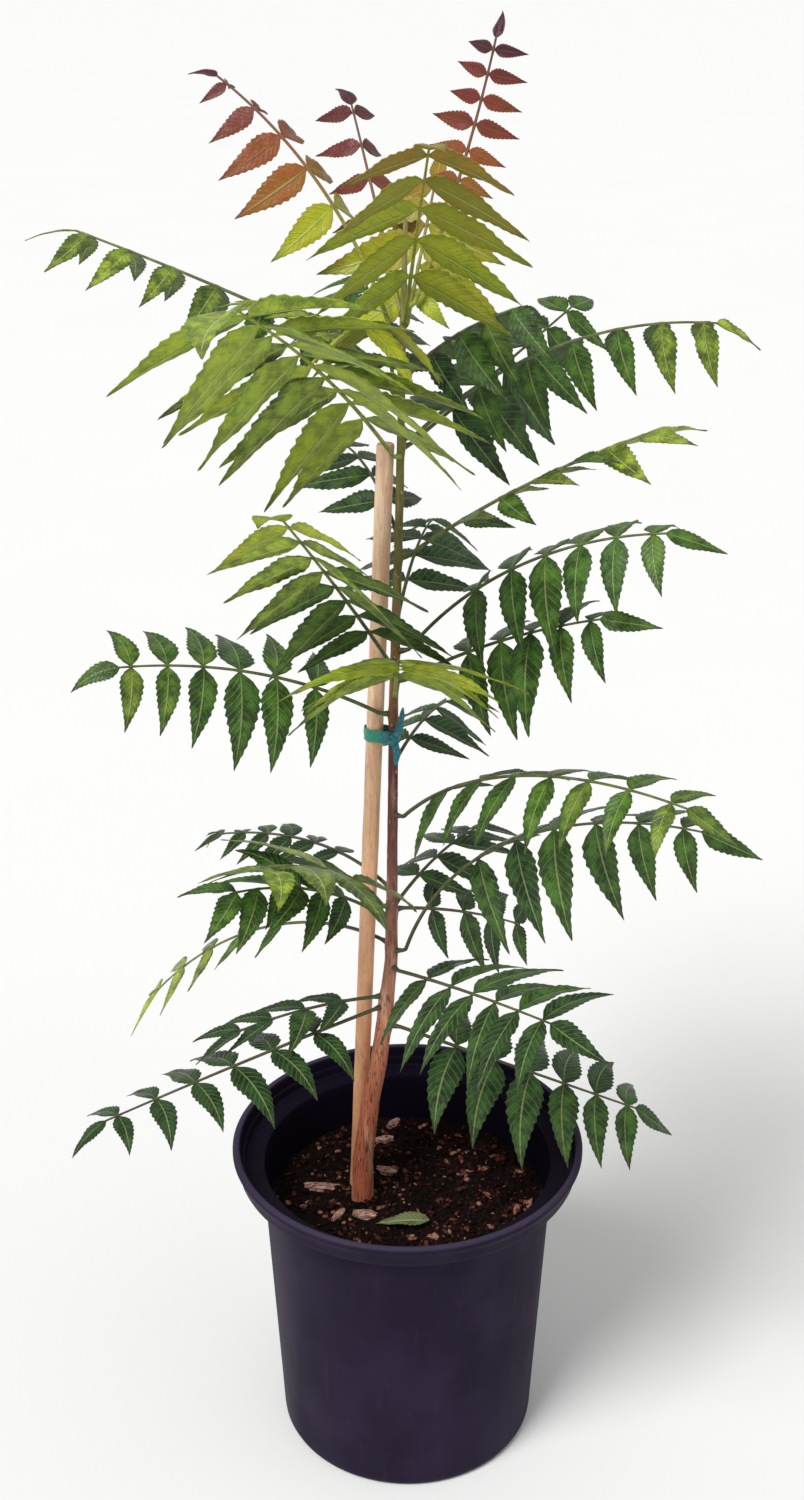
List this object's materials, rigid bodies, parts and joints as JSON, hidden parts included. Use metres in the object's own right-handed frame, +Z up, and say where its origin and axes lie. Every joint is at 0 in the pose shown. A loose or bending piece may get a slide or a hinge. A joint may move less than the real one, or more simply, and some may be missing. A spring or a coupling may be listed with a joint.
{
  "type": "potted neem tree",
  "caption": "Young neem tree with feathery compound leaves, tied to a cane stake in a round nursery pot of soil; a free-standing garden or patio plant.",
  "frame": {"origin": "centre of the flat disc under the pot, on the ground plane", "axes": "+Z up along the tree, -Y towards the viewer of the picture, +X to the viewer's right"},
  "size_m": [0.458, 0.4746, 1.0053],
  "materials": {
    "pot_plastic": "satin aubergine moulding with fine vertical scuffs",
    "soil": "moist crumbly bark and peat mix",
    "bark": "young reddish-brown bark, greener towards the top",
    "cane": "dry pale tan cane with darker weathering",
    "tape": "soft teal tie tape",
    "chip": "dry pinkish-tan bark chip",
    "leaf_deep": "older leaf, deep green with a paler midrib",
    "leaf_green": "full grown leaf, fresh green with a pale midrib",
    "leaf_lime": "fresh leaf, yellow-green",
    "leaf_bronze": "newest leaf, bronze to dark red"
  },
  "bodies": {
    "root": {"pot": "pot_plastic", "soil": "soil", "stem": "bark", "stake": "cane", "tie": "tape", "bark_chip_1": "chip", "bark_chip_2": "chip", "bark_chip_3": "chip", "bark_chip_4": "chip", "bark_chip_5": "chip", "bark_chip_6": "chip", "fallen_leaflet": "leaf_green", "frond_bottom_right": "leaf_deep", "frond_bottom_left": "leaf_deep", "frond_small_left": "leaf_deep", "frond_arch_near": "leaf_deep", "frond_drop_left": "leaf_deep", "frond_low_right": "leaf_deep", "frond_near_left": "leaf_deep", "frond_near_front": "leaf_deep", "frond_small_right": "leaf_deep", "frond_back_low": "leaf_deep", "frond_back_row": "leaf_deep", "frond_arch_right": "leaf_green", "frond_back_tie": "leaf_green", "frond_row_left": "leaf_green", "frond_front": "leaf_green", "frond_near_right": "leaf_green", "frond_fan_left": "leaf_green", "frond_row_right": "leaf_green", "frond_back_mid": "leaf_green", "frond_olive_right": "leaf_green", "frond_back_left": "leaf_green", "frond_big_left": "leaf_green", "frond_high_right": "leaf_green", "frond_far_right": "leaf_green", "frond_back_high": "leaf_green", "frond_crown_left": "leaf_green", "frond_high_left": "leaf_lime", "frond_crown_right": "leaf_lime", "frond_crown_bright": "leaf_lime", "frond_crown_back": "leaf_lime", "frond_crown_front": "leaf_lime", "frond_young_left": "leaf_bronze", "frond_young_back": "leaf_bronze", "frond_young_right": "leaf_bronze"}
  },
  "joints": []
}
